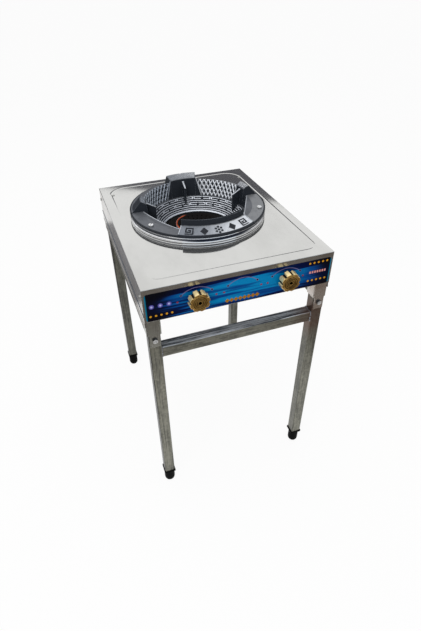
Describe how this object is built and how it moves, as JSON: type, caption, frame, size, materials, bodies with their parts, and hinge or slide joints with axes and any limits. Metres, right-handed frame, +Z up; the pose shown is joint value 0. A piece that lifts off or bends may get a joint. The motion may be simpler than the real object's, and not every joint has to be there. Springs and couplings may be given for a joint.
{
  "type": "single burner gas stove",
  "caption": "Free-standing gas wok stove: cast-iron wok ring on a polished steel box with turning knobs, square tube legs with bullet feet, and a gas train under the plate.",
  "frame": {"origin": "on the floor under the middle of the overall box", "axes": "+Z up, -Y towards the cook (the knobs face -Y), +X to the right of the cook"},
  "size_m": [0.4044, 0.5448, 0.669],
  "materials": {
    "polished_steel": "mirror polished stainless sheet",
    "stainless_sheet": "bright stainless sheet",
    "printed_fascia": "glossy dark blue print",
    "zinc_steel": "zinc plated",
    "galvanised_tube": "galvanised",
    "cast_iron": "graphite painted casting",
    "chrome_trim": "bright chrome",
    "burner_iron": "raw casting",
    "copper_burner": "turned copper alloy",
    "gas_pipe": "galvanised pipe",
    "copper_pipe": "drawn copper",
    "brass": "machined brass",
    "gold_knob": "polished gold brass",
    "black_plastic": "moulded black"
  },
  "bodies": {
    "stove": {"burner_bar": "galvanised_tube", "burner_bar_screws": "zinc_steel", "burner_body": "burner_iron", "control_fascia": "printed_fascia", "front_crossbar": "galvanised_tube", "front_left_foot": "black_plastic", "front_left_leg": "galvanised_tube", "front_left_socket": "stainless_sheet", "front_panel": "stainless_sheet", "front_right_foot": "black_plastic", "front_right_leg": "galvanised_tube", "front_right_socket": "stainless_sheet", "gas_inlet": "brass", "gas_manifold": "gas_pipe", "inlet_locknut": "brass", "inner_flame_cap": "burner_iron", "left_feed_pipe": "copper_pipe", "left_injector": "brass", "left_mixing_tube": "burner_iron", "left_side_panel": "stainless_sheet", "left_side_rail": "galvanised_tube", "left_valve_body": "brass", "leg_bolts": "zinc_steel", "leg_nuts": "zinc_steel", "manifold_plug": "zinc_steel", "outer_flame_ring": "copper_burner", "panel_screws": "zinc_steel", "rear_crossbar": "galvanised_tube", "rear_left_foot": "black_plastic", "rear_left_leg": "galvanised_tube", "rear_left_socket": "stainless_sheet", "rear_panel": "stainless_sheet", "rear_right_foot": "black_plastic", "rear_right_leg": "galvanised_tube", "rear_right_socket": "stainless_sheet", "right_feed_pipe": "copper_pipe", "right_injector": "brass", "right_mixing_tube": "burner_iron", "right_side_panel": "stainless_sheet", "right_side_rail": "galvanised_tube", "right_valve_body": "brass", "ring_nuts": "zinc_steel", "ring_screws": "zinc_steel", "supply_elbow": "gas_pipe", "supply_pipe": "gas_pipe", "top_plate": "polished_steel", "top_rivets": "zinc_steel", "trim_ring": "chrome_trim", "valve_nuts": "zinc_steel", "wok_ring": "cast_iron"},
    "left_control": {"left_knob": "gold_knob", "left_valve_stem": "brass", "left_knob_screw": "zinc_steel"},
    "left_shutter": {"left_air_shutter": "zinc_steel"},
    "right_control": {"right_knob": "gold_knob", "right_valve_stem": "brass", "right_knob_screw": "zinc_steel"},
    "right_shutter": {"right_air_shutter": "zinc_steel"}
  },
  "joints": [
    {"name": "left_knob_turn", "type": "hinge", "parent": "stove", "child": "left_control", "pos_m": [-0.095, -0.2496, 0.588], "axis": [0, -1, 0], "range_deg": [0, 90]},
    {"name": "right_knob_turn", "type": "hinge", "parent": "stove", "child": "right_control", "pos_m": [0.095, -0.2496, 0.588], "axis": [0, -1, 0], "range_deg": [0, 90]},
    {"name": "left_shutter_turn", "type": "hinge", "parent": "stove", "child": "left_shutter", "pos_m": [-0.038, -0.0726, 0.558], "axis": [0, 1, 0], "range_deg": [0, 90]},
    {"name": "right_shutter_turn", "type": "hinge", "parent": "stove", "child": "right_shutter", "pos_m": [0.038, -0.0726, 0.558], "axis": [0, -1, 0], "range_deg": [0, 90]}
  ]
}
